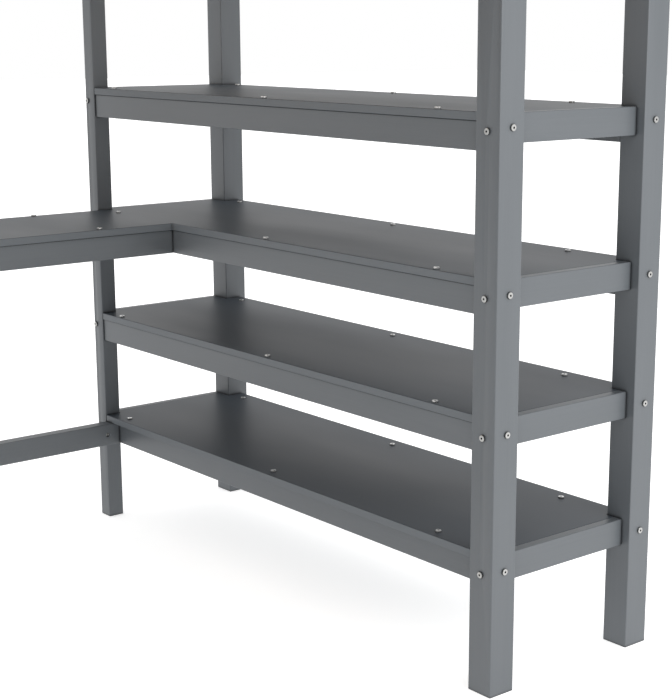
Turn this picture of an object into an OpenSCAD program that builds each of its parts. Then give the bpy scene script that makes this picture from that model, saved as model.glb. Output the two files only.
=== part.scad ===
// Loft bed with a desk and an open shelf unit under the deck.
// X runs along the bed, Y from the front to the wall, Z up. The origin is on the
// floor, at the middle of the frame. Sizes are in millimetres.

/* [Frame] */
// Length over the corner posts
frame_length = 2000; // [1980:10:2100]
// Width over the corner posts
frame_width = 1456; // [1456:2:1480]
// Height of the corner posts
post_height = 1800; // [1790:10:1900]
// Side of the square posts
post_side = 60; // [60:1:62]
// Side of the slimmer back inner post
slim_side = 40; // [40:1:42]

/* [Shelf unit] */
// Depth of the unit along X, over its posts
unit_depth = 439; // [430:1:480]
// Height of the top board's upper face
board_top_1 = 1080; // [1070:1:1100]
// Height of the desk top and the board that is one piece with it
desk_height = 785; // [775:1:800]
// Height of the third board's upper face
board_top_3 = 529; // [515:1:540]
// Height of the lowest board's upper face
board_top_4 = 268; // [262:1:285]
// Thickness of the boards
board_thick = 16; // [15:1:18]
// Set-back of the boards from the unit's inner face
board_setback_in = 21; // [19:1:23]
// Set-back of the boards from the frame's right end
board_setback_out = 16; // [15:1:18]
// Height of the rails along Y, under the boards
long_rail_height = 53; // [52:1:56]
// Height of the rails along X, flush with the boards
short_rail_height = 54; // [54:1:60]
// Thickness of the shelf rails
rail_thick = 20; // [19:1:20]
// Thickness of the outer long rails
outer_rail_thick = 40; // [38:1:42]
// Set-back of the inner long rails from the unit's inner face
inner_rail_setback = 24; // [23:1:25]
// Distance from the frame's front to the front row of board screws
screw_row_front = 196; // [150:1:260]
// Distance from the frame's front to the middle row of board screws
screw_row_middle = 737; // [700:1:810]
// Distance from the frame's front to the back row of board screws
screw_row_back = 1342; // [1330:1:1350]

/* [Desk] */
// Distance from the front of the frame to the front edge of the desk
desk_front = 1084; // [1060:1:1100]
// Overhang of the desk top over its front rail
desk_overhang = 4; // [2:1:6]
// Distance between the desk top's screws along X
desk_screw_pitch = 420; // [400:5:425]

/* [Low rails] */
// Height of the rails near the floor
low_rail_height = 54; // [50:1:54]
// Thickness of the low back rail
low_rail_thick = 30; // [28:1:32]

/* [Bed deck] */
// Underside of the bed rails
deck_bottom = 1340; // [1330:5:1360]
// Height of the bed rails
bed_rail_height = 130; // [130:5:140]
// Thickness of the bed rails and guard rails
bed_rail_thick = 22; // [20:1:22]
// Set-back of the bed rails from the frame's outer faces
bed_rail_setback = 18; // [16:1:18]
// Height of the slat ledges
ledge_height = 30; // [28:1:32]
// Height of the ledges above the rails' underside
ledge_lift = 32; // [30:1:34]
// Number of slats
slat_count = 13; // [11:1:14]
// Width of a slat
slat_width = 70; // [60:5:80]
// Thickness of a slat
slat_thick = 18; // [16:1:20]
// Width of the centre beam
beam_width = 40; // [36:2:44]

/* [Guard rails] */
// Height of a guard rail
guard_height = 70; // [60:5:80]
// Underside of the lower guard rails
guard_bottom_lower = 1535; // [1525:5:1545]
// Underside of the upper guard rails
guard_bottom_upper = 1700; // [1680:5:1705]

/* [Ladder] */
// Clear width between the ladder's sides
ladder_width = 420; // [380:10:440]
// Depth of a rung along Y
rung_depth = 40; // [36:1:44]
// Thickness of a rung
rung_thick = 24; // [22:1:26]

/* [Fasteners] */
// Diameter of the frame bolts
bolt_d = 6; // [5:1:6]
// Diameter of a bolt head
head_d = 12; // [11:0.5:12.5]
// Height of a bolt head
head_h = 3.5; // [3:0.5:4]
// Distance from a rail's end to its barrel nut
nut_inset = 34; // [32:1:36]
// Diameter of a barrel nut
nut_d = 10; // [9:1:10]
// Diameter of a dowel
dowel_d = 8; // [6:1:8]
// Length of a dowel
dowel_length = 30; // [26:2:30]

/* [Hidden] */
$fn = 32;

paint = [0.40, 0.41, 0.42];
steel = [0.76, 0.76, 0.75];
beech = [0.80, 0.66, 0.48];
pine = [0.86, 0.74, 0.55];

// Outer faces of the frame
right = frame_length / 2;
left = -right;
back = frame_width / 2;
front = -back;

// Places in the shelf unit along X
unit_x = right - unit_depth;
slim_x = unit_x + post_side - slim_side;
inner_rail_x = unit_x + inner_rail_setback;
low_inner_rail_x = unit_x + post_side - rail_thick;
outer_rail_x = right - post_side;
outer_bolt_x = right - post_side / 2;
board_x = [unit_x + board_setback_in, right - board_setback_out];

// Places along Y
post_in_front = front + post_side;
post_in_back = back - post_side;
slim_front = back - slim_side;
front_rail_y = front + post_side / 2 - rail_thick / 2;
back_rail_y = back - rail_thick;
desk_y = front + desk_front;
desk_rail_y = desk_y + desk_overhang;
desk_back_rail_y = slim_front - rail_thick;
low_rail_y = slim_front - low_rail_thick;

// Left end
left_rail_x = left + post_side / 2 - rail_thick / 2;
desk_left = -board_x[1];

// Levels of the boards, the top one first; the desk is one piece with the second
board_tops = [board_top_1, desk_height, board_top_3, board_top_4];
desk_level = 1;
low_level = 3;
function long_rail_top(k) = board_tops[k] - board_thick;
low_z = long_rail_top(low_level) - low_rail_height;
deck_top = deck_bottom + bed_rail_height;
ledge_z = deck_bottom + ledge_lift;
slat_z = ledge_z + ledge_height;
rung_count = 5;
rung_pitch = deck_top / (rung_count + 1);
guard_bottoms = [guard_bottom_lower, guard_bottom_upper];
guard_top = guard_bottom_upper + guard_height;

// Bed rails in plan
bed_in = bed_rail_setback + bed_rail_thick;
bed_mid = bed_rail_setback + bed_rail_thick / 2;

// Ladder in plan
upright_x = left + post_side + ladder_width;
rung_y = front + post_side / 2 - rung_depth / 2;

// Clearances
board_gap = 0.5;
hole_play = 0.4;
cut = 1;

// Bolts that run along X sit lower than those along Y, so that they clear each
// other inside a post
short_bolt_drop = 31.5;
long_bolt_drop = 24.5;
short_dowel_drop = 45.5;
long_dowel_drop = 54.5;
nut_wall = 3;
short_nut_wall = 2;
nut_max = 24;
tongue_bolt_length = 34;
dowel_play = 0.1;

// Board screws, with the same head as the bolts
board_screw_d = 5;
board_screw_length = 42;
inner_screw_inset = 33;
low_screw_inset = 4.5;
outer_screw_inset = 10;
inner_screw_x = unit_x + inner_screw_inset;
low_inner_screw_x = low_inner_rail_x + low_screw_inset;
outer_screw_x = outer_rail_x + outer_screw_inset;

// Deck screws, sunk in the slats
screw_d = 4;
screw_head_d = 9.6;
screw_head_h = 2.4;
screw_sink = 0.6;
screw_seat_d = 10.4;
screw_seat_depth = screw_sink + screw_head_h;

DOWN = [0, 0, -1];
EAST = [1, 0, 0];
WEST = [-1, 0, 0];
NORTH = [0, 1, 0];
SOUTH = [0, -1, 0];

// ---- Joints ----------------------------------------------------------------
// A joint is [head, direction, grip, mouth, depth]: the point under the bolt
// head, the way the bolt runs, the thickness of the first piece, the way to the
// face where the barrel nut goes in, and how far that face is from the bolt.
// A joint with a depth of 0 has no barrel nut: the bolt ends in the second piece.
// A sixth entry is the nut's own length, where a centred nut of the usual length
// would come out of the far face.

half_rail = rail_thick / 2;
front_post_mid = front + post_side / 2;
inner_bolt_head_x = unit_x + post_side / 2 + cut;
function inner_bolt_x(k) = (k == low_level ? low_inner_rail_x : inner_rail_x) + half_rail;

function front_rail_joints(k) = let (z = board_tops[k] - short_bolt_drop) [
    [[unit_x, front_post_mid, z], EAST, post_side, NORTH, half_rail],
    [[right, front_post_mid, z], WEST, post_side, NORTH, half_rail]
];

function back_rail_joints(k) = let (z = board_tops[k] - short_bolt_drop, y = back - half_rail) [
    [[slim_x, y, z], EAST, slim_side, SOUTH, half_rail],
    [[right, y, z], WEST, post_side, SOUTH, half_rail]
];

// At the lowest level the front bolt stays on the post's middle line and ends in
// the post, because the rail there is set back behind it
function inner_rail_joints(k) = let (z = board_tops[k] - long_bolt_drop) [
    k == low_level
        ? [[inner_bolt_head_x, front, z], NORTH, slim_side, NORTH, 0]
        : [[inner_bolt_head_x, front, z], NORTH, post_side, EAST,
            inner_rail_x + rail_thick - inner_bolt_head_x,
            2 * (inner_bolt_head_x - inner_rail_x - short_nut_wall)],
    [[inner_bolt_x(k), back, z], SOUTH, slim_side, EAST, half_rail]
];

outer_nut_depth = outer_bolt_x - outer_rail_x;
outer_nut_length = 2 * (outer_rail_thick - outer_nut_depth - short_nut_wall);
function outer_rail_joints(k) = let (z = board_tops[k] - long_bolt_drop) [
    [[outer_bolt_x, front, z], NORTH, post_side, WEST, outer_nut_depth, outer_nut_length],
    [[outer_bolt_x, back, z], SOUTH, post_side, WEST, outer_nut_depth, outer_nut_length]
];

// The bolts of the end rails pass those of the back rails inside the corner posts
end_bolt_drop = 12;
low_end_bolt_drop = 14;
desk_bolt_z = desk_height - board_thick - long_rail_height / 2;
desk_end_bolt_z = desk_height - board_thick - end_bolt_drop;

inner_rail_face = inner_rail_x + rail_thick;
left_rail_mid = left_rail_x + half_rail;
desk_rail_mid = desk_rail_y + half_rail;
desk_back_rail_mid = desk_back_rail_y + half_rail;

desk_front_joints = [
    [[inner_rail_face, desk_rail_mid, desk_bolt_z], WEST, rail_thick, NORTH, half_rail],
    [[left_rail_x, desk_rail_mid, desk_bolt_z], EAST, rail_thick, NORTH, half_rail]
];
desk_back_joints = [
    [[inner_rail_face, desk_back_rail_mid, desk_bolt_z], WEST, rail_thick, SOUTH, half_rail],
    [[left, desk_back_rail_mid, desk_bolt_z], EAST, post_side, SOUTH, half_rail]
];
desk_end_joints = [
    [[left_rail_mid, front, desk_end_bolt_z], NORTH, post_side, EAST, half_rail],
    [[left_rail_mid, back, desk_end_bolt_z], SOUTH, post_side, EAST, half_rail]
];

low_bolt_z = low_z + low_rail_height / 2;
low_end_bolt_z = low_bolt_z - low_end_bolt_drop;
half_low_rail = low_rail_thick / 2;
low_rail_mid = low_rail_y + half_low_rail;
low_back_joints = [
    [[low_inner_rail_x + rail_thick, low_rail_mid, low_bolt_z], WEST, rail_thick, SOUTH, half_low_rail],
    [[left, slim_front - half_rail, low_bolt_z], EAST, post_side, NORTH, half_rail]
];
low_end_joints = [
    [[left_rail_mid, front, low_end_bolt_z], NORTH, post_side, EAST, half_rail],
    [[left_rail_mid, back, low_end_bolt_z], SOUTH, post_side, EAST, half_rail]
];

// Two bolts at each end of a bed rail, those of the end rails a little higher
bed_bolt_lifts = [16, 96];
end_bolt_rise = 16;
half_bed = bed_rail_thick / 2;

// side is -1 at the front and 1 at the back; end is -1 at the left and 1 at the
// right. A joint through a corner post into a side rail or an end rail:
function side_joint(side, end, z) =
    [[end * right, side * (back - bed_mid), z], -end * EAST, post_side, -side * NORTH, half_bed];
function end_joint(end, side, z) =
    [[end * (right - bed_mid), side * back, z], -side * NORTH, post_side, -end * EAST, half_bed];

function bed_side_joints(side, end) =
    [for (lift = bed_bolt_lifts) side_joint(side, end, deck_bottom + lift)];
function bed_end_joints(end, side) =
    [for (lift = bed_bolt_lifts) end_joint(end, side, deck_bottom + lift + end_bolt_rise)];

beam_z = deck_bottom + 2;
beam_end_x = right - bed_rail_setback;
function beam_joint(end) =
    [[[end * beam_end_x, 0, ledge_z], -end * EAST, bed_rail_thick, DOWN, ledge_z - beam_z]];

// Tongues of the inner posts and the upright, bolted to the face of a rail
tongue_lifts = [26, 104];
function tongue_joints(x, side, heights) = [for (z = heights)
    [[x, side * back, z], -side * NORTH, bed_rail_setback, -side * NORTH, 0]
];
deck_tongue_z = [for (lift = tongue_lifts) deck_bottom + lift];
guard_mid_z = [for (z = guard_bottoms) z + guard_height / 2];
inner_post_tongue = tongue_joints(unit_x + post_side / 2, -1, deck_tongue_z);
slim_post_tongue = tongue_joints(slim_x + slim_side / 2, 1, deck_tongue_z);
upright_tongue = tongue_joints(upright_x + post_side / 2, -1, concat(deck_tongue_z, guard_mid_z));

guard_bolt_shift = 8;
function guard_side_joint(side, end, i) = [side_joint(side, end, guard_mid_z[i] - guard_bolt_shift)];
function guard_end_joint(end, side, i) = [end_joint(end, side, guard_mid_z[i] + guard_bolt_shift)];

function rung_z(i) = (i + 1) * rung_pitch - rung_thick;
function rung_joints(i) = let (z = rung_z(i) + rung_thick / 2) [
    [[left, front_post_mid, z], EAST, post_side, DOWN, rung_thick / 2],
    [[upright_x + post_side, front_post_mid, z], WEST, post_side, DOWN, rung_thick / 2]
];

levels = [0:3];
ends = [-1, 1];
rungs = [0:rung_count - 1];

all_joints = concat(
    [for (k = levels, j = front_rail_joints(k)) j],
    [for (k = levels, j = back_rail_joints(k)) j],
    [for (k = levels, j = inner_rail_joints(k)) j],
    [for (k = levels, j = outer_rail_joints(k)) j],
    desk_front_joints, desk_back_joints, desk_end_joints, low_back_joints, low_end_joints,
    [for (s = ends, e = ends, j = bed_side_joints(s, e)) j],
    [for (s = ends, e = ends, j = bed_end_joints(e, s)) j],
    [for (e = ends, j = beam_joint(e)) j],
    inner_post_tongue, slim_post_tongue, upright_tongue,
    [for (i = [0, 1], e = ends, j = guard_side_joint(1, e, i)) j],
    [for (i = [0, 1], j = guard_side_joint(-1, 1, i)) j],
    [for (i = [0, 1], e = ends, s = ends, j = guard_end_joint(e, s, i)) j],
    [for (i = rungs, j = rung_joints(i)) j]
);

// A dowel is [middle, direction]
function front_rail_dowels(k) = [for (x = [unit_x + post_side, right - post_side])
    [[x, front_post_mid, board_tops[k] - short_dowel_drop], EAST]
];
function back_rail_dowels(k) = [for (x = [slim_x + slim_side, right - post_side])
    [[x, back - half_rail, board_tops[k] - short_dowel_drop], EAST]
];
function inner_rail_dowels(k) = [for (y = [post_in_front, slim_front])
    [[inner_bolt_x(k), y, board_tops[k] - long_dowel_drop], NORTH]
];
function outer_rail_dowels(k) = [for (y = [post_in_front, post_in_back])
    [[outer_bolt_x, y, board_tops[k] - long_dowel_drop], NORTH]
];
function level_dowels(k) =
    concat(front_rail_dowels(k), back_rail_dowels(k), inner_rail_dowels(k), outer_rail_dowels(k));
all_dowels = [for (k = levels) each level_dowels(k)];

// Board screws, by the point at the top face
screw_rows = [screw_row_front, screw_row_middle, screw_row_back];
function shelf_screws(k) = [
    for (y = screw_rows, x = [k == low_level ? low_inner_screw_x : inner_screw_x, outer_screw_x])
        [x, front + y, board_tops[k]]
];
desk_screw_count = 4;
desk_screw_inset = 160;
desk_screw_start = unit_x - desk_screw_inset;
desk_screw_x = [for (i = [0:desk_screw_count - 1]) desk_screw_start - i * desk_screw_pitch];
desk_screws = [for (x = desk_screw_x, y = [desk_rail_mid, desk_back_rail_mid]) [x, y, desk_height]];

// Slats, by the middle of each along X, and the screws that hold them
slat_end_gap = 45;
slat_span = frame_length - 2 * post_side - 2 * slat_end_gap - slat_width;
function slat_x(i) = -slat_span / 2 + i * slat_span / (slat_count - 1);
slat_list = [0:slat_count - 1];
ledge_mid = bed_in + bed_rail_thick / 2;
function slat_screw(i, side) = [slat_x(i), side * (back - ledge_mid), slat_z + slat_thick];
slat_screws = [for (i = slat_list, s = ends) slat_screw(i, s)];
deck_screw_length = 38;
// The screws that hold a ledge to its rail, each midway between two slats
ledge_screw_x = [for (i = [0:2:slat_count - 2]) (slat_x(i) + slat_x(i + 1)) / 2];
ledge_screw_length = 36;

// ---- Helpers ---------------------------------------------------------------

// A block between two corners
module bar(low, high) {
    translate(low) cube(high - low);
}

// Turns +Z to a direction along an axis
module along(point, way) {
    translate(point)
        rotate([0, acos(way[2]), atan2(way[1], way[0])])
            children();
}

function nut_length(j) = len(j) > 5 ? j[5] : min(2 * (j[4] - nut_wall), nut_max);
function bolt_length(j) = j[4] > 0 ? j[2] + nut_inset + nut_d / 2 : tongue_bolt_length;
function nut_point(j) = j[0] + j[1] * (j[2] + nut_inset);

// The holes that one joint needs, in every piece that it passes
module drill(joints) {
    for (j = joints) {
        along(j[0] - j[1] * cut, j[1])
            cylinder(d = bolt_d + hole_play, h = bolt_length(j) + 2 * cut);
        if (j[4] > 0)
            along(nut_point(j) - j[3] * (nut_length(j) / 2 + cut), j[3])
                cylinder(d = nut_d + hole_play, h = nut_length(j) / 2 + j[4] + 2 * cut);
    }
}

module bore_dowels(dowels) {
    for (d = dowels)
        along(d[0] - d[1] * (dowel_length / 2 + cut), d[1])
            cylinder(d = dowel_d + dowel_play, h = dowel_length + 2 * cut);
}

// A hole straight down from a point
module hole_down(point, diameter, depth) {
    translate(point - [0, 0, depth + cut]) cylinder(d = diameter, h = depth + 2 * cut);
}

// Cross-head screw with a low round head, its top face at z = 0
module screw(length) {
    head_taper = 1.6;
    top_d = screw_head_d - head_taper;
    cross = [4.8, 1, 2];
    cross_depth = 1.2;
    translate([0, 0, -length]) cylinder(d = screw_d, h = length - screw_head_h);
    difference() {
        translate([0, 0, -screw_head_h]) cylinder(d1 = screw_head_d, d2 = top_d, h = screw_head_h);
        for (a = [0, 90])
            rotate(a)
                translate([-cross[0] / 2, -cross[1] / 2, -cross_depth]) cube(cross);
    }
}

// A flat round head with a hexagon socket, seated at z = 0, on a plain shank
module bolt(shank_d, length) {
    chamfer = 0.5;
    socket_d = 4.6;
    socket_depth = 2;
    difference() {
        union() {
            translate([0, 0, chamfer - head_h]) cylinder(d = head_d, h = head_h - chamfer);
            translate([0, 0, -head_h]) cylinder(d1 = head_d - 2 * chamfer, d2 = head_d, h = chamfer);
        }
        translate([0, 0, -head_h - cut]) cylinder(d = socket_d, h = socket_depth + cut, $fn = 6);
    }
    cylinder(d = shank_d, h = length);
}

// ---- Posts -----------------------------------------------------------------

module corner_post(x, y, joints, dowels) {
    color(paint)
        difference() {
            bar([x, y, 0], [x + post_side, y + post_side, post_height]);
            drill(joints);
            bore_dowels(dowels);
        }
}

module post_front_left()
    corner_post(left, front, concat(
        [desk_end_joints[0]], [low_end_joints[0]], bed_side_joints(-1, -1), bed_end_joints(-1, -1),
        guard_end_joint(-1, -1, 0), guard_end_joint(-1, -1, 1), [for (i = rungs) rung_joints(i)[0]]
    ), []);

module post_front_right()
    corner_post(right - post_side, front, concat(
        [for (k = levels) front_rail_joints(k)[1]], [for (k = levels) outer_rail_joints(k)[0]],
        bed_side_joints(-1, 1), bed_end_joints(1, -1),
        guard_side_joint(-1, 1, 0), guard_side_joint(-1, 1, 1),
        guard_end_joint(1, -1, 0), guard_end_joint(1, -1, 1)
    ), [for (k = levels) each [front_rail_dowels(k)[1], outer_rail_dowels(k)[0]]]);

module post_back_left()
    corner_post(left, post_in_back, concat(
        [desk_back_joints[1]], [desk_end_joints[1]], [low_back_joints[1]], [low_end_joints[1]],
        bed_side_joints(1, -1), bed_end_joints(-1, 1),
        guard_side_joint(1, -1, 0), guard_side_joint(1, -1, 1),
        guard_end_joint(-1, 1, 0), guard_end_joint(-1, 1, 1)
    ), []);

module post_back_right()
    corner_post(right - post_side, post_in_back, concat(
        [for (k = levels) back_rail_joints(k)[1]], [for (k = levels) outer_rail_joints(k)[1]],
        bed_side_joints(1, 1), bed_end_joints(1, 1),
        guard_side_joint(1, 1, 0), guard_side_joint(1, 1, 1),
        guard_end_joint(1, 1, 0), guard_end_joint(1, 1, 1)
    ), [for (k = levels) each [back_rail_dowels(k)[1], outer_rail_dowels(k)[1]]]);

// A post that carries a rail: full section up to the deck, then a thin tongue
// on the outside that laps the rail's face
module tongued_post(x, y, side, outer, top, joints, dowels) {
    tongue_y = outer > 0 ? y + side - bed_rail_setback : y;
    color(paint)
        difference() {
            union() {
                bar([x, y, 0], [x + side, y + side, deck_bottom]);
                bar([x, tongue_y, deck_bottom - cut], [x + side, tongue_y + bed_rail_setback, top]);
            }
            drill(joints);
            bore_dowels(dowels);
        }
}

module post_front_inner()
    tongued_post(unit_x, front, post_side, -1, deck_top, concat(
        [for (k = levels) front_rail_joints(k)[0]], [for (k = levels) inner_rail_joints(k)[0]],
        inner_post_tongue
    ), [for (k = levels) each [front_rail_dowels(k)[0], inner_rail_dowels(k)[0]]]);

module post_back_inner()
    tongued_post(slim_x, slim_front, slim_side, 1, deck_top, concat(
        [for (k = levels) back_rail_joints(k)[0]], [for (k = levels) inner_rail_joints(k)[1]],
        slim_post_tongue
    ), [for (k = levels) each [back_rail_dowels(k)[0], inner_rail_dowels(k)[1]]]);

module ladder_upright()
    tongued_post(upright_x, front, post_side, -1, guard_top, concat(
        [for (i = rungs) rung_joints(i)[1]], upright_tongue
    ), []);

// ---- Shelf boards and desk top ---------------------------------------------

// Outline of a shelf board, notched round the four posts
module shelf_outline() {
    difference() {
        translate([board_x[0], front_rail_y + rail_thick])
            square([board_x[1] - board_x[0], back_rail_y - front_rail_y - rail_thick]);
        translate([unit_x, front])
            square(post_side + board_gap);
        translate([right - post_side - board_gap, front])
            square([post_side + board_gap + cut, post_side + board_gap]);
        translate([unit_x, slim_front - board_gap])
            square([post_side + board_gap, slim_side + board_gap]);
        translate([right - post_side - board_gap, post_in_back - board_gap])
            square([post_side + board_gap + cut, post_side + board_gap]);
    }
}

module desk_outline() {
    difference() {
        translate([desk_left, desk_y])
            square([board_x[0] - desk_left + cut, slim_front - desk_y]);
        translate([left, post_in_back - board_gap])
            square([post_side + board_gap, post_side]);
        translate([slim_x - board_gap, slim_front - board_gap])
            square(slim_side);
    }
}

module board(k, screws) {
    color(paint)
        difference() {
            translate([0, 0, board_tops[k] - board_thick])
                linear_extrude(board_thick) children();
            for (p = screws) hole_down(p, board_screw_d + hole_play, board_thick);
        }
}

module shelf_board(k) board(k, shelf_screws(k)) shelf_outline();

module desk_top()
    board(desk_level, concat(shelf_screws(desk_level), desk_screws))
        union() {
            shelf_outline();
            desk_outline();
        }

// ---- Shelf and desk rails --------------------------------------------------

module wood(low, high, joints, dowels, screws) {
    color(paint)
        difference() {
            bar(low, high);
            drill(joints);
            bore_dowels(dowels);
            for (p = screws) hole_down(p, board_screw_d + dowel_play, board_screw_length);
        }
}

function near_x(points, x) = [for (p = points) if (abs(p[0] - x) < rail_thick) p];
function near_y(points, y) = [for (p = points) if (abs(p[1] - y) < rail_thick) p];

module rail_inner(k) {
    x = k == low_level ? low_inner_rail_x : inner_rail_x;
    crossing = k == desk_level ? [desk_front_joints[0], desk_back_joints[0]]
        : k == low_level ? [low_back_joints[0]] : [];
    own = [for (j = inner_rail_joints(k)) if (j[4] > 0) j];
    top = long_rail_top(k);
    wood([x, post_in_front, top - long_rail_height], [x + rail_thick, slim_front, top],
        concat(own, crossing), inner_rail_dowels(k), near_x(shelf_screws(k), x + half_rail));
}

module rail_outer(k) {
    x = outer_rail_x;
    top = long_rail_top(k);
    wood([x, post_in_front, top - long_rail_height], [x + outer_rail_thick, post_in_back, top],
        outer_rail_joints(k), outer_rail_dowels(k), near_x(shelf_screws(k), outer_screw_x));
}

module rail_front(k)
    wood([unit_x + post_side, front_rail_y, board_tops[k] - short_rail_height],
        [right - post_side, front_rail_y + rail_thick, board_tops[k]],
        front_rail_joints(k), front_rail_dowels(k), []);

module rail_back(k)
    wood([slim_x + slim_side, back_rail_y, board_tops[k] - short_rail_height],
        [right - post_side, back, board_tops[k]],
        back_rail_joints(k), back_rail_dowels(k), []);

desk_rail_bottom = desk_height - board_thick - long_rail_height;
desk_rail_top = desk_height - board_thick;

module desk_rail_front()
    wood([left_rail_x + rail_thick, desk_rail_y, desk_rail_bottom],
        [inner_rail_x, desk_rail_y + rail_thick, desk_rail_top],
        desk_front_joints, [], near_y(desk_screws, desk_rail_mid));

module desk_rail_back()
    wood([left + post_side, desk_back_rail_y, desk_rail_bottom],
        [inner_rail_x, slim_front, desk_rail_top],
        desk_back_joints, [], near_y(desk_screws, desk_back_rail_mid));

module desk_rail_end()
    wood([left_rail_x, post_in_front, desk_rail_bottom],
        [left_rail_x + rail_thick, post_in_back, desk_rail_top],
        concat(desk_end_joints, [desk_front_joints[1]]), [], []);

module low_rail_back()
    wood([left + post_side, low_rail_y, low_z],
        [low_inner_rail_x, slim_front, low_z + low_rail_height],
        low_back_joints, [], []);

module low_rail_end()
    wood([left_rail_x, post_in_front, low_z],
        [left_rail_x + rail_thick, post_in_back, low_z + low_rail_height],
        low_end_joints, [], []);

// ---- Bed deck --------------------------------------------------------------

module ledge_screw_at(side, x)
    along([x, side * (back - bed_in - bed_rail_thick), ledge_z + ledge_height / 2], -side * NORTH)
        children();

module ledge_screw_holes(side)
    for (x = ledge_screw_x)
        ledge_screw_at(side, x)
            translate([0, 0, -ledge_screw_length - cut])
                cylinder(d = screw_d + dowel_play, h = ledge_screw_length + 2 * cut);

module bed_side_rail(side) {
    y0 = side > 0 ? back - bed_in : front + bed_rail_setback;
    tongues = side > 0 ? slim_post_tongue
        : concat(inner_post_tongue, tongue_joints(upright_x + post_side / 2, -1, deck_tongue_z));
    color(paint)
        difference() {
            bar([left + post_side, y0, deck_bottom], [right - post_side, y0 + bed_rail_thick, deck_top]);
            drill(concat(bed_side_joints(side, -1), bed_side_joints(side, 1), tongues));
            ledge_screw_holes(side);
        }
}

module bed_end_rail(end) {
    x0 = end > 0 ? right - bed_in : left + bed_rail_setback;
    color(paint)
        difference() {
            bar([x0, post_in_front, deck_bottom], [x0 + bed_rail_thick, post_in_back, deck_top]);
            drill(concat(bed_end_joints(end, -1), bed_end_joints(end, 1), beam_joint(end)));
        }
}

module slat_ledge(side) {
    y0 = side > 0 ? back - bed_in - bed_rail_thick : front + bed_in;
    color(paint)
        difference() {
            bar([left + post_side, y0, ledge_z], [right - post_side, y0 + bed_rail_thick, slat_z]);
            for (p = slat_screws)
                if (p[1] * side > 0) hole_down(p, screw_d + dowel_play, deck_screw_length);
            ledge_screw_holes(side);
        }
}

module centre_beam() {
    color(paint)
        difference() {
            bar([left + bed_in, -beam_width / 2, beam_z], [right - bed_in, beam_width / 2, slat_z]);
            drill(concat(beam_joint(-1), beam_joint(1)));
        }
}

module slats() {
    clear = bed_in + 2;
    color(pine)
        for (i = slat_list)
            difference() {
                bar([slat_x(i) - slat_width / 2, front + clear, slat_z],
                    [slat_x(i) + slat_width / 2, back - clear, slat_z + slat_thick]);
                for (s = ends) {
                    hole_down(slat_screw(i, s), screw_d + hole_play, slat_thick);
                    hole_down(slat_screw(i, s), screw_seat_d, screw_seat_depth - cut);
                }
            }
}

// ---- Guard rails and ladder ------------------------------------------------

module guard_side(side, i) {
    y0 = side > 0 ? back - bed_in : front + bed_rail_setback;
    x0 = side > 0 ? left + post_side : upright_x;
    joints = side > 0 ? concat(guard_side_joint(1, -1, i), guard_side_joint(1, 1, i))
        : concat(guard_side_joint(-1, 1, i), [upright_tongue[len(deck_tongue_z) + i]]);
    color(paint)
        difference() {
            bar([x0, y0, guard_bottoms[i]],
                [right - post_side, y0 + bed_rail_thick, guard_bottoms[i] + guard_height]);
            drill(joints);
        }
}

module guard_end(end, i) {
    x0 = end > 0 ? right - bed_in : left + bed_rail_setback;
    color(paint)
        difference() {
            bar([x0, post_in_front, guard_bottoms[i]],
                [x0 + bed_rail_thick, post_in_back, guard_bottoms[i] + guard_height]);
            drill(concat(guard_end_joint(end, -1, i), guard_end_joint(end, 1, i)));
        }
}

module ladder_rung(i) {
    color(paint)
        difference() {
            bar([left + post_side, rung_y, rung_z(i)],
                [upright_x, rung_y + rung_depth, rung_z(i) + rung_thick]);
            drill(rung_joints(i));
        }
}

// ---- Fasteners -------------------------------------------------------------

module frame_bolts() {
    color(steel)
        for (j = all_joints)
            along(j[0], j[1]) bolt(bolt_d, bolt_length(j));
}

module barrel_nuts() {
    slot = 1.4;
    color(steel)
        for (j = all_joints)
            if (j[4] > 0)
                difference() {
                    along(nut_point(j) - j[3] * nut_length(j) / 2, j[3])
                        difference() {
                            cylinder(d = nut_d, h = nut_length(j));
                            translate([-nut_d, -slot / 2, nut_length(j) - slot])
                                cube([2 * nut_d, slot, 2 * slot]);
                        }
                    along(nut_point(j) - j[1] * nut_d, j[1])
                        cylinder(d = bolt_d + dowel_play, h = 2 * nut_d);
                }
}

module dowels() {
    color(beech)
        for (d = all_dowels)
            along(d[0] - d[1] * dowel_length / 2, d[1])
                cylinder(d = dowel_d, h = dowel_length);
}

module board_screws() {
    color(steel)
        for (p = concat([for (k = levels) each shelf_screws(k)], desk_screws))
            along(p, DOWN) bolt(board_screw_d, board_screw_length);
}

module deck_screws() {
    color(steel) {
        for (p = slat_screws)
            translate(p - [0, 0, screw_sink]) screw(deck_screw_length - screw_sink);
        for (side = ends, x = ledge_screw_x)
            ledge_screw_at(side, x) translate([0, 0, screw_head_h]) screw(ledge_screw_length);
    }
}

// ---- Output ----------------------------------------------------------------

post_front_left();
post_front_right();
post_back_left();
post_back_right();
post_front_inner();
post_back_inner();
shelf_board(0);  // shelf_board_1
desk_top();
shelf_board(2);  // shelf_board_3
shelf_board(3);  // shelf_board_4
rail_inner(0);  // rail_inner_1
rail_inner(1);  // rail_inner_2
rail_inner(2);  // rail_inner_3
rail_inner(3);  // rail_inner_4
rail_outer(0);  // rail_outer_1
rail_outer(1);  // rail_outer_2
rail_outer(2);  // rail_outer_3
rail_outer(3);  // rail_outer_4
rail_front(0);  // rail_front_1
rail_front(1);  // rail_front_2
rail_front(2);  // rail_front_3
rail_front(3);  // rail_front_4
rail_back(0);  // rail_back_1
rail_back(1);  // rail_back_2
rail_back(2);  // rail_back_3
rail_back(3);  // rail_back_4
desk_rail_front();
desk_rail_back();
desk_rail_end();
low_rail_back();
low_rail_end();
bed_side_rail(-1);  // bed_rail_front
bed_side_rail(1);  // bed_rail_back
bed_end_rail(-1);  // bed_rail_left
bed_end_rail(1);  // bed_rail_right
slat_ledge(-1);  // slat_ledge_front
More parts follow.
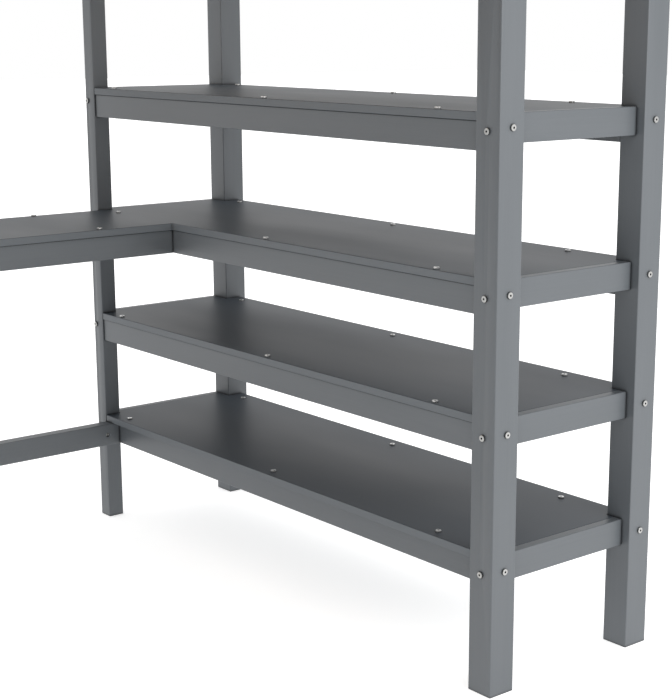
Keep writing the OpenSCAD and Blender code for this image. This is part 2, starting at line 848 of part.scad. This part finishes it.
slat_ledge(1);  // slat_ledge_back
centre_beam();
slats();
guard_side(-1, 0);  // guard_front_lower
guard_side(-1, 1);  // guard_front_upper
guard_side(1, 0);  // guard_back_lower
guard_side(1, 1);  // guard_back_upper
guard_end(-1, 0);  // guard_left_lower
guard_end(-1, 1);  // guard_left_upper
guard_end(1, 0);  // guard_right_lower
guard_end(1, 1);  // guard_right_upper
ladder_upright();
ladder_rung(0);  // ladder_rung_1
ladder_rung(1);  // ladder_rung_2
ladder_rung(2);  // ladder_rung_3
ladder_rung(3);  // ladder_rung_4
ladder_rung(4);  // ladder_rung_5
frame_bolts();
barrel_nuts();
dowels();
board_screws();
deck_screws();
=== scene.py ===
"""Looks for the loft bed with a desk: satin grey paint on softened wood, bare slats and
zinc-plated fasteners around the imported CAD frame, in a plain white studio."""

import math

import bpy
from mathutils import Matrix, Vector


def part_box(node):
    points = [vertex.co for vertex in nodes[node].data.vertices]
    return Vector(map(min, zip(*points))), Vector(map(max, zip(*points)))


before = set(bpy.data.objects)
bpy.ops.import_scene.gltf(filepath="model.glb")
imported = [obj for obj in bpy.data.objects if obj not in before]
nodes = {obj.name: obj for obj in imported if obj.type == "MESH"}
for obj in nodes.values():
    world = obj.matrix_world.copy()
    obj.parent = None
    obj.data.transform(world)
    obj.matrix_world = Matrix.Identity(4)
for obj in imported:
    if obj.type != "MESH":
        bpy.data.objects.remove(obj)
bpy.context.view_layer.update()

# ---- What each CAD node is made of ------------------------------------------

STEEL_NODES = ("frame_bolts", "barrel_nuts", "board_screws", "deck_screws")
BOARD_NODES = ("shelf_board_1", "desk_top", "shelf_board_3", "shelf_board_4")
AXES = "XYZ"

# Radius of the rounded edges, in metres
POST_EDGE = 0.0020
RAIL_EDGE = 0.0015
BOARD_EDGE = 0.0014


def long_axis(node):
    """The index of the axis that the node's own length runs along."""
    low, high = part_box(node)
    size = high - low
    return max(range(3), key=lambda i: size[i])


# ---- Node tree helpers -------------------------------------------------------


class Tree:
    """A short way to add and join the nodes of one material."""

    def __init__(self, name):
        self.material = bpy.data.materials.new(name)
        self.material.use_nodes = True
        self.nodes = self.material.node_tree.nodes
        self.links = self.material.node_tree.links
        self.nodes.clear()
        self.output = self.add("ShaderNodeOutputMaterial")
        self.shader = self.add("ShaderNodeBsdfPrincipled")
        self.links.new(self.shader.outputs["BSDF"], self.output.inputs["Surface"])

    def add(self, kind, **settings):
        node = self.nodes.new(kind)
        for name, value in settings.items():
            setattr(node, name, value)
        return node

    def join(self, source, target):
        self.links.new(source, target)

    def coordinates(self, scale, offset=(0, 0, 0)):
        """Places in the object's own frame, in metres, times a scale for each axis."""
        place = self.add("ShaderNodeTexCoord")
        mapping = self.add("ShaderNodeMapping")
        mapping.inputs["Scale"].default_value = scale
        mapping.inputs["Location"].default_value = offset
        self.join(place.outputs["Object"], mapping.inputs["Vector"])
        return mapping.outputs["Vector"]

    def noise(self, where, scale=1.0, detail=3.0, roughness=0.55, distortion=0.0):
        node = self.add("ShaderNodeTexNoise")
        node.inputs["Scale"].default_value = scale
        node.inputs["Detail"].default_value = detail
        node.inputs["Roughness"].default_value = roughness
        node.inputs["Distortion"].default_value = distortion
        self.join(where, node.inputs["Vector"])
        return node.outputs["Fac"]

    def spread(self, value, low, high, to_low, to_high):
        """Maps a value from one range to another, held within it."""
        node = self.add("ShaderNodeMapRange")
        node.inputs["From Min"].default_value = low
        node.inputs["From Max"].default_value = high
        node.inputs["To Min"].default_value = to_low
        node.inputs["To Max"].default_value = to_high
        self.join(value, node.inputs["Value"])
        return node.outputs["Result"]

    def maths(self, operation, a, b):
        node = self.add("ShaderNodeMath", operation=operation)
        for socket, value in zip(node.inputs, (a, b)):
            if isinstance(value, (int, float)):
                socket.default_value = value
            else:
                self.join(value, socket)
        return node.outputs["Value"]

    def mix(self, amount, a, b):
        """A colour between a and b, each a colour or the output of a node."""
        node = self.add("ShaderNodeMix", data_type="RGBA")
        self.join(amount, node.inputs["Factor"])
        for name, value in (("A", a), ("B", b)):
            socket = [s for s in node.inputs if s.name == name and s.type == "RGBA"][0]
            if isinstance(value, tuple):
                socket.default_value = (*value, 1.0)
            else:
                self.join(value, socket)
        return [s for s in node.outputs if s.type == "RGBA"][0]

    def edge_mask(self, radius):
        """1 along outside and inside edges, 0 on flat faces."""
        rounded = self.add("ShaderNodeBevel", samples=4)
        rounded.inputs["Radius"].default_value = radius
        flat = self.add("ShaderNodeNewGeometry")
        dot = self.add("ShaderNodeVectorMath", operation="DOT_PRODUCT")
        self.join(rounded.outputs["Normal"], dot.inputs[0])
        self.join(flat.outputs["Normal"], dot.inputs[1])
        return self.spread(dot.outputs["Value"], 0.995, 0.80, 0.0, 1.0)

    def crevice_shade(self, reach):
        """Painted shade mask: 1 in the narrow gaps between pieces, where shade falls, 0 in
        the open.
        """
        open_sky = self.add("ShaderNodeAmbientOcclusion", samples=8)
        open_sky.inputs["Distance"].default_value = reach
        return self.spread(open_sky.outputs["AO"], 0.45, 0.93, 1.0, 0.0)

    def facing_up(self):
        """1 on faces that look up or down, 0 on upright faces."""
        flat = self.add("ShaderNodeNewGeometry")
        parts = self.add("ShaderNodeSeparateXYZ")
        self.join(flat.outputs["Normal"], parts.inputs["Vector"])
        steep = self.maths("ABSOLUTE", parts.outputs["Z"], 0.0)
        return self.spread(steep, 0.3, 0.8, 0.0, 1.0)

    def bump(self, height, strength, distance, under=None):
        node = self.add("ShaderNodeBump")
        node.inputs["Strength"].default_value = strength
        node.inputs["Distance"].default_value = distance
        self.join(height, node.inputs["Height"])
        if under is not None:
            self.join(under, node.inputs["Normal"])
        return node.outputs["Normal"]

    def set(self, name, value):
        if hasattr(value, "is_linked"):
            self.join(value, self.shader.inputs[name])
        else:
            self.shader.inputs[name].default_value = value


def stretched(axis, along, across):
    """Scales that draw a pattern out along one axis."""
    return tuple(along if i == axis else across for i in range(3))


# ---- Materials ---------------------------------------------------------------

# Colours are linear, lengths are in metres and pattern scales are per metre
PAINT = (0.103, 0.113, 0.123)
PAINT_DARK = (0.091, 0.101, 0.110)
PAINT_WORN = (0.142, 0.153, 0.164)
# Shaded and lit copies of the board paint: painted shade on the flat faces, a paler rim
BOARD_FACE_SHADE = (0.060, 0.071, 0.084)
BOARD_FACE_SHADE_DARK = (0.052, 0.062, 0.074)
BOARD_RIM_LIT = (0.118, 0.130, 0.141)
# Painted shade in the narrow gaps between pieces and round the fastener heads: its colour and
# reach
GAP_SHADE_COLOUR = (0.018, 0.020, 0.022)
GAP_SHADE_REACH = 0.008
HEAD_GAP_SHADE_REACH = 0.004
POST_WEAR = 0.0022
BOARD_WEAR = 0.0016
GRAIN_DEPTH = 0.0004
PEEL_DEPTH = 0.0003
MARK_DEPTH = 0.0001
BOARD_GLOSS = 0.25
PALER = 1.12


def painted_wood(name, axis):
    """Satin paint on planed wood: the grain just shows through along the piece."""
    t = Tree(name)
    grain = t.noise(t.coordinates(stretched(axis, 6.0, 260.0)), detail=4.0, distortion=0.4)
    cloud = t.noise(t.coordinates(stretched(axis, 1.6, 9.0), (3, 5, 7)), detail=2.0)
    peel = t.noise(t.coordinates((620, 620, 620)), detail=2.0)
    shade = t.maths("ADD", t.maths("MULTIPLY", grain, 0.35), t.maths("MULTIPLY", cloud, 0.65))
    colour = t.mix(t.spread(shade, 0.36, 0.64, 0.0, 1.0), PAINT_DARK, PAINT)
    worn = t.maths("MULTIPLY", t.edge_mask(POST_WEAR), t.spread(cloud, 0.40, 0.62, 0.15, 0.9))
    covered = t.mix(worn, colour, PAINT_WORN)
    # Painted shade: the narrow gaps between pieces are darkened towards a near-black
    t.set("Base Color", t.mix(t.crevice_shade(GAP_SHADE_REACH), covered, GAP_SHADE_COLOUR))
    t.set("Roughness", t.spread(shade, 0.30, 0.70, 0.36, 0.46))
    under = t.bump(grain, 0.22, GRAIN_DEPTH)
    t.set("Normal", t.bump(peel, 0.05, PEEL_DEPTH, under))
    return t.material


def painted_board(name, axis):
    """The same paint on a smooth board, with painted shade: the flat faces darker and the rim
    a little paler, as the light falls on them.
    """
    t = Tree(name)
    cloud = t.noise(t.coordinates(stretched(axis, 1.2, 4.0), (1, 2, 3)), detail=3.0)
    grain = t.noise(t.coordinates(stretched(axis, 5.0, 190.0)), detail=3.0)
    peel = t.noise(t.coordinates((540, 540, 540)), detail=2.0)
    # Painted shade: the flat faces take a darker copy of the paint than the rim
    face = t.mix(t.spread(cloud, 0.35, 0.65, 0.0, 1.0), BOARD_FACE_SHADE_DARK, BOARD_FACE_SHADE)
    colour = t.mix(t.facing_up(), BOARD_RIM_LIT, face)
    worn = t.maths("MULTIPLY", t.edge_mask(BOARD_WEAR), t.spread(cloud, 0.42, 0.60, 0.1, 0.7))
    covered = t.mix(worn, colour, PAINT_WORN)
    # Painted shade: the narrow gaps between pieces are darkened towards a near-black
    t.set("Base Color", t.mix(t.crevice_shade(GAP_SHADE_REACH), covered, GAP_SHADE_COLOUR))
    t.set("Roughness", t.spread(cloud, 0.30, 0.70, 0.40, 0.48))
    under = t.bump(grain, 0.06, PEEL_DEPTH)
    t.set("Normal", t.bump(peel, 0.04, PEEL_DEPTH, under))
    t.set("Specular IOR Level", BOARD_GLOSS)
    return t.material


def zinc_steel(name, dull, bright):
    """Bright zinc plate with fine turning marks and a dull film in places."""
    t = Tree(name)
    fine = t.noise(t.coordinates((1900, 1900, 1900)), detail=3.0)
    cloud = t.noise(t.coordinates((170, 170, 170)), detail=2.0)
    plated = t.mix(cloud, dull, bright)
    # Painted shade: the narrow gaps round the heads are darkened towards a near-black
    t.set("Base Color", t.mix(t.crevice_shade(HEAD_GAP_SHADE_REACH), plated, GAP_SHADE_COLOUR))
    t.set("Roughness", t.spread(fine, 0.3, 0.7, 0.26, 0.42))
    t.set("Normal", t.bump(fine, 0.12, MARK_DEPTH))
    t.set("Metallic", 1.0)
    return t.material


def bare_wood(name, axis, early, late, ring_scale):
    """Planed softwood or beech: rings drawn out along the piece, with fine pores."""
    t = Tree(name)
    where = t.coordinates(stretched(axis, 0.55, 7.0))
    rings = t.add("ShaderNodeTexWave", wave_type="RINGS", rings_direction=AXES[axis])
    rings.inputs["Scale"].default_value = ring_scale
    rings.inputs["Distortion"].default_value = 5.0
    rings.inputs["Detail"].default_value = 3.0
    rings.inputs["Detail Scale"].default_value = 1.4
    t.join(where, rings.inputs["Vector"])
    pores = t.noise(t.coordinates(stretched(axis, 18.0, 900.0)), detail=3.0)
    cloud = t.noise(t.coordinates(stretched(axis, 1.2, 6.0), (4, 1, 8)), detail=2.0)
    ringed = t.mix(rings.outputs["Fac"], early, late)
    pale = tuple(min(1.0, c * PALER) for c in early)
    t.set("Base Color", t.mix(t.spread(cloud, 0.35, 0.70, 0.0, 0.55), ringed, pale))
    t.set("Roughness", t.spread(pores, 0.3, 0.7, 0.50, 0.66))
    t.set("Normal", t.bump(pores, 0.25, GRAIN_DEPTH))
    return t.material


ALONG_X, ALONG_Y = 0, 1

wood_paint = [painted_wood("wood_paint_" + a, i) for i, a in enumerate(AXES)]
board_paint = painted_board("board_paint", ALONG_Y)
bolt_steel = zinc_steel("zinc_bolts", (0.36, 0.36, 0.35), (0.48, 0.48, 0.47))
# The screws take a brighter copy of the zinc: a painted highlight for the glints on their
# heads
screw_steel_highlit = zinc_steel("zinc_screws_highlit", (0.60, 0.60, 0.59), (0.80, 0.80, 0.79))
pine = bare_wood("bare_pine", ALONG_Y, (0.66, 0.46, 0.27), (0.50, 0.30, 0.15), 9.0)
beech = bare_wood("bare_beech", ALONG_X, (0.52, 0.33, 0.19), (0.44, 0.26, 0.14), 16.0)


# ---- The CAD nodes: soft edges and materials ---------------------------------


SAME_POINT = 1e-6
FLAT_ANGLE = math.radians(0.5)
SHARP_ANGLE = math.radians(40)


def soften(obj, radius, segments):
    """Rounds the sharp edges of a CAD node with modifiers, and leaves its mesh as it is."""
    weld = obj.modifiers.new("weld", "WELD")
    weld.merge_threshold = SAME_POINT
    flat = obj.modifiers.new("merge_flats", "DECIMATE")
    flat.decimate_type = "DISSOLVE"
    flat.angle_limit = FLAT_ANGLE
    edge = obj.modifiers.new("soft_edges", "BEVEL")
    edge.width = radius
    edge.segments = segments
    edge.limit_method = "ANGLE"
    edge.angle_limit = SHARP_ANGLE
    edge.use_clamp_overlap = False
    edge.loop_slide = False
    edge.harden_normals = True


def dress(obj, material):
    """Gives every slot of a CAD node the same material."""
    for slot in obj.material_slots:
        slot.material = material


def finish_node(name, obj):
    """Gives a node its material and, where it is wood or board, its soft edges."""
    if name in STEEL_NODES:
        dress(obj, screw_steel_highlit if name.endswith("screws") else bolt_steel)
    elif name in BOARD_NODES:
        dress(obj, board_paint)
        soften(obj, BOARD_EDGE, 2)
    elif name == "slats":
        dress(obj, pine)
        soften(obj, RAIL_EDGE, 2)
    elif name == "dowels":
        dress(obj, beech)
    else:
        dress(obj, wood_paint[long_axis(name)])
        soften(obj, POST_EDGE if name.startswith("post") else RAIL_EDGE, 3)


for name, obj in nodes.items():
    finish_node(name, obj)


# ---- Studio ------------------------------------------------------------------


FLOOR_HALF = 30.0
FLOOR_GLOW = 0.6
WHITE = (1.0, 1.0, 1.0, 1.0)


def make_floor():
    """A wide pale floor under the feet, with a slight glow of its own that keeps it white."""
    mesh = bpy.data.meshes.new("floor")
    signs = ((-1, -1), (1, -1), (1, 1), (-1, 1))
    corners = [(x * FLOOR_HALF, y * FLOOR_HALF, 0) for x, y in signs]
    mesh.from_pydata(corners, [], [(0, 1, 2, 3)])
    floor = bpy.data.objects.new("floor", mesh)
    bpy.context.scene.collection.objects.link(floor)
    t = Tree("pale_floor")
    t.set("Base Color", (0.88, 0.88, 0.88, 1.0))
    t.set("Roughness", 0.9)
    t.set("Specular IOR Level", 0.1)
    t.set("Emission Color", WHITE)
    t.set("Emission Strength", FLOOR_GLOW)
    mesh.materials.append(t.material)


def soft_light(name, place, target, size, power):
    """A rectangular lamp that faces a point."""
    data = bpy.data.lights.new(name, "AREA")
    data.shape = "RECTANGLE"
    data.size, data.size_y = size
    data.energy = power
    lamp = bpy.data.objects.new(name, data)
    bpy.context.scene.collection.objects.link(lamp)
    lamp.location = place
    aim = Vector(target) - Vector(place)
    lamp.rotation_euler = aim.to_track_quat("-Z", "Y").to_euler()


def make_world(strength):
    """Even white light from all round."""
    world = bpy.data.worlds.new("studio")
    world.use_nodes = True
    background = world.node_tree.nodes["Background"]
    background.inputs["Color"].default_value = WHITE
    background.inputs["Strength"].default_value = strength
    bpy.context.scene.world = world


# The camera's place in metres, its turn, tilt and roll in degrees, its lens and sensor in mm
CAMERA_PLACE = (-1.3265, -2.6530, 1.2279)
CAMERA_ANGLES = (-40.17, 77.58, 0.09)
LENS = 79.61
SENSOR = 36.0
SHIFT = (-0.0670, 0.0234)


def make_camera():
    """Stands at the front left of the shelf unit and looks slightly down at it."""
    turn, tilt, roll = (math.radians(a) for a in CAMERA_ANGLES)
    data = bpy.data.cameras.new("camera")
    data.lens = LENS
    data.sensor_width = SENSOR
    data.shift_x, data.shift_y = SHIFT
    camera = bpy.data.objects.new("camera", data)
    bpy.context.scene.collection.objects.link(camera)
    aim = Matrix.Rotation(turn, 4, "Z") @ Matrix.Rotation(tilt, 4, "X")
    camera.matrix_world = (
        Matrix.Translation(CAMERA_PLACE) @ aim @ Matrix.Rotation(roll, 4, "Z")
    )
    bpy.context.scene.camera = camera


# One soft lamp in front of the shelf unit, aimed at its upper half
WORLD_STRENGTH = 1.0
KEY_PLACE = (1.1, -3.0, 1.6)
KEY_AIM = (0.8, -0.7, 1.0)
KEY_SIZE = (1.6, 1.2)
KEY_POWER = 34

make_floor()
make_world(WORLD_STRENGTH)
soft_light("key", KEY_PLACE, KEY_AIM, KEY_SIZE, KEY_POWER)
make_camera()
bpy.context.scene.view_settings.view_transform = "Standard"
